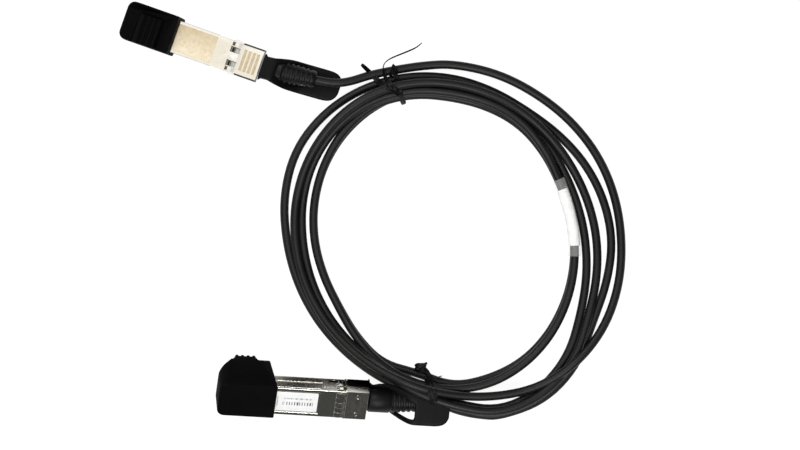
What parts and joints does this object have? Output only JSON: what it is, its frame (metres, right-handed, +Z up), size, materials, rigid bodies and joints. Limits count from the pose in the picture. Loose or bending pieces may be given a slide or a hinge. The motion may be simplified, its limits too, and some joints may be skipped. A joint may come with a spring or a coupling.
{
  "type": "direct attach copper cable",
  "caption": "Coiled copper twinax patch cable with a latched metal plug, pull tab, ringed boot and dust cap at each end, held in its coil by two wire ties.",
  "frame": {"origin": "centre of the box of the two plug ends on the table surface they rest on", "axes": "+Z up from the table, +Y the longest side of the box of the two plug ends, +X from the plugs towards the coil"},
  "size_m": [0.2126, 0.1759, 0.0272],
  "materials": {
    "cap_rubber": "matt moulded rubber",
    "nickel_shell": "nickel plated zinc casting, warm satin",
    "bright_nickel": "bright nickel plated spring sheet",
    "latch_steel": "nickel plated pressed steel",
    "spring_steel": "spring steel strip",
    "tab_rubber": "matt moulded elastomer",
    "boot_rubber": "satin moulded elastomer",
    "ferrule_brass": "crimped brass",
    "foil_shield": "foil wrapped pairs",
    "card_laminate": "green solder mask on laminate",
    "gold_contact": "gold plated pads",
    "label_paper": "white printed label stock",
    "clear_sleeve": "clear glossy shrink sleeve",
    "tie_plastic": "black plastic over wire",
    "cord_jacket": "satin black cable jacket"
  },
  "bodies": {
    "root": {"housing_a": "nickel_shell", "top_cover_a": "nickel_shell", "cover_rivets_a": "bright_nickel", "spring_collar_a": "bright_nickel", "return_springs_a": "spring_steel", "strain_relief_a": "boot_rubber", "ferrule_a": "ferrule_brass", "twinax_pairs_a": "foil_shield", "paddle_card_a": "card_laminate", "card_contacts_a": "gold_contact", "housing_b": "nickel_shell", "top_cover_b": "nickel_shell", "cover_rivets_b": "bright_nickel", "spring_collar_b": "bright_nickel", "return_springs_b": "spring_steel", "strain_relief_b": "boot_rubber", "ferrule_b": "ferrule_brass", "twinax_pairs_b": "foil_shield", "paddle_card_b": "card_laminate", "card_contacts_b": "gold_contact", "plug_label_b": "label_paper", "cable_coil": "cord_jacket", "cable_lead_a": "cord_jacket", "cable_lead_b": "cord_jacket", "cable_label": "label_paper", "label_sleeve": "clear_sleeve", "tie_top": "tie_plastic", "tie_bottom": "tie_plastic"},
    "cap_a": {"dust_cap_a": "cap_rubber"},
    "cap_b": {"dust_cap_b": "cap_rubber"},
    "latch_a": {"latch_slide_a": "latch_steel", "pull_tab_a": "tab_rubber"},
    "latch_b": {"latch_slide_b": "latch_steel", "pull_tab_b": "tab_rubber"}
  },
  "joints": [
    {"name": "cap_a_slide", "type": "slide", "parent": "root", "child": "cap_a", "axis": [-0.9432, 0.3322, 0], "range_m": [0, 0.03]},
    {"name": "cap_b_slide", "type": "slide", "parent": "root", "child": "cap_b", "axis": [-0.9884, 0.0605, 0.1392], "range_m": [0, 0.03]},
    {"name": "latch_a_slide", "type": "slide", "parent": "root", "child": "latch_a", "axis": [0.9432, -0.3322, 0], "range_m": [0, 0.0022], "stiffness_N_per_m": 1500, "deforming": ["return_springs_a"]},
    {"name": "latch_b_slide", "type": "slide", "parent": "root", "child": "latch_b", "axis": [0.9884, -0.0605, -0.1392], "range_m": [0, 0.0022], "stiffness_N_per_m": 1500, "deforming": ["return_springs_b"]}
  ]
}
